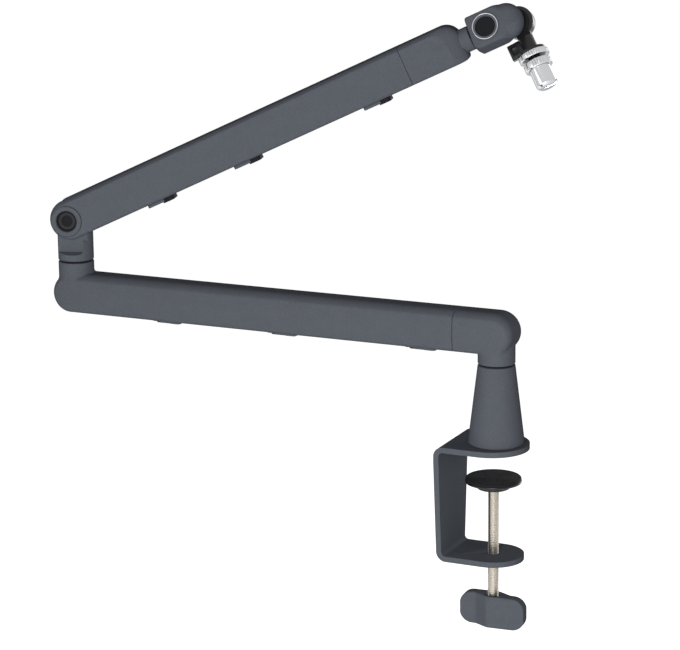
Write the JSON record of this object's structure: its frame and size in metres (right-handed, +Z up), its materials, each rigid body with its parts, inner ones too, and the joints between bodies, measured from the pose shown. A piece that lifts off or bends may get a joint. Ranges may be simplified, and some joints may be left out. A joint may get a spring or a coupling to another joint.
{
  "type": "microphone boom arm",
  "caption": "Desk-clamped boom arm that swings, tilts and turns to hold a microphone on a threaded adapter.",
  "frame": {"origin": "on the post's axis, in the underside of the clamp's top plate, the face that rests on the desk", "axes": "+Z up, along the post; +X from the clamp's web out of its mouth, away from the desk; the lower arm lies along -X at rest"},
  "size_m": [0.3835, 0.1353, 0.4385],
  "materials": {
    "steel_coat": "fine-textured anthracite powder coat on steel",
    "cast_coat": "fine-textured anthracite powder coat on die-cast aluminium",
    "dark_metal": "black oxide or black paint",
    "bare_steel": "nickel-plated, turned",
    "bright_chrome": "polished nickel or chrome",
    "aluminium": "raw extruded, hidden inside",
    "nylon": "moulded black nylon",
    "rubber": "ribbed or plain black rubber",
    "brass": "turned, hidden inside"
  },
  "bodies": {
    "clamp": {"clamp_frame": "steel_coat", "post": "cast_coat", "post_screws": "dark_metal", "post_bush": "nylon"},
    "clamp_foot": {"foot_cup": "dark_metal", "foot_pad": "rubber"},
    "screw_and_handle": {"clamp_screw": "bare_steel", "screw_handle": "cast_coat", "handle_pin": "bare_steel"},
    "lower_arm": {"elbow_seam_washer": "nylon", "elbow_casting": "cast_coat", "elbow_pin": "bare_steel", "elbow_plug": "aluminium", "elbow_plug_screws": "dark_metal", "lower_beam": "cast_coat", "lower_clips": "cast_coat", "lower_clip_tabs": "rubber", "lower_clip_screws": "dark_metal", "knuckle_bush": "nylon"},
    "swivel": {"knuckle_seam_washer": "nylon", "swivel_block": "cast_coat", "swivel_pin": "bare_steel", "swivel_pin_screw": "dark_metal"},
    "upper_arm": {"upper_beam": "cast_coat", "pivot_bolt": "dark_metal", "pivot_nut": "dark_metal", "pivot_caps": "nylon", "friction_washers": "nylon", "upper_end_casting": "cast_coat", "upper_plug": "aluminium", "upper_plug_screws": "dark_metal", "upper_clips": "cast_coat", "upper_clip_tabs": "rubber", "upper_clip_screws": "dark_metal", "wrist_pin": "bare_steel"},
    "head": {"wrist_washer": "nylon", "head_housing": "cast_coat", "boss_ring": "bright_chrome", "boss_cap": "nylon", "tension_screw": "bare_steel", "tension_plug": "brass", "hinge_screw": "bare_steel"},
    "shank": {"mic_shank": "dark_metal", "hinge_washer": "nylon"},
    "lock_ring": {"lock_ring": "bright_chrome"},
    "adapter": {"thread_adapter": "bright_chrome"}
  },
  "joints": [
    {"name": "foot_travel", "type": "slide", "parent": "clamp", "child": "clamp_foot", "axis": [0, 0, 1], "range_m": [-0.04, 0.02]},
    {"name": "clamp_screw_turn", "type": "hinge", "parent": "clamp_foot", "child": "screw_and_handle", "pos_m": [-0.002, 0, -0.03], "axis": [0, 0, 1], "range_deg": [-11550, 5790]},
    {"name": "lower_arm_swing", "type": "hinge", "parent": "clamp", "child": "lower_arm", "pos_m": [0, 0, 0.0613], "axis": [0, 0, 1], "continuous": true},
    {"name": "upper_arm_swing", "type": "hinge", "parent": "lower_arm", "child": "swivel", "pos_m": [-0.34, 0, 0.1085], "axis": [0, 0, 1], "continuous": true},
    {"name": "upper_arm_tilt", "type": "hinge", "parent": "swivel", "child": "upper_arm", "pos_m": [-0.34241, -0.00067, 0.1401], "axis": [0.2689, -0.9632, 0], "range_deg": [-30, 60]},
    {"name": "head_turn", "type": "hinge", "parent": "upper_arm", "child": "head", "pos_m": [-0.05181, 0.08046, 0.27913], "axis": [0.8729, 0.2437, 0.4226], "continuous": true},
    {"name": "shank_fold", "type": "hinge", "parent": "head", "child": "shank", "pos_m": [-0.02336, 0.08841, 0.29291], "axis": [0.0801, -0.9261, 0.3686], "range_deg": [0, 170]},
    {"name": "lock_ring_turn", "type": "hinge", "parent": "shank", "child": "lock_ring", "pos_m": [-0.01, 0.09193, 0.26765], "axis": [0.541, -0.2702, -0.7965], "continuous": true},
    {"name": "adapter_turn", "type": "hinge", "parent": "shank", "child": "adapter", "pos_m": [-0.00632, 0.09009, 0.26223], "axis": [0.541, -0.2702, -0.7965], "continuous": true}
  ],
  "couplings": [
    {"joint": "clamp_screw_turn", "follows": "foot_travel", "rad_per_m": 5026.5}
  ]
}
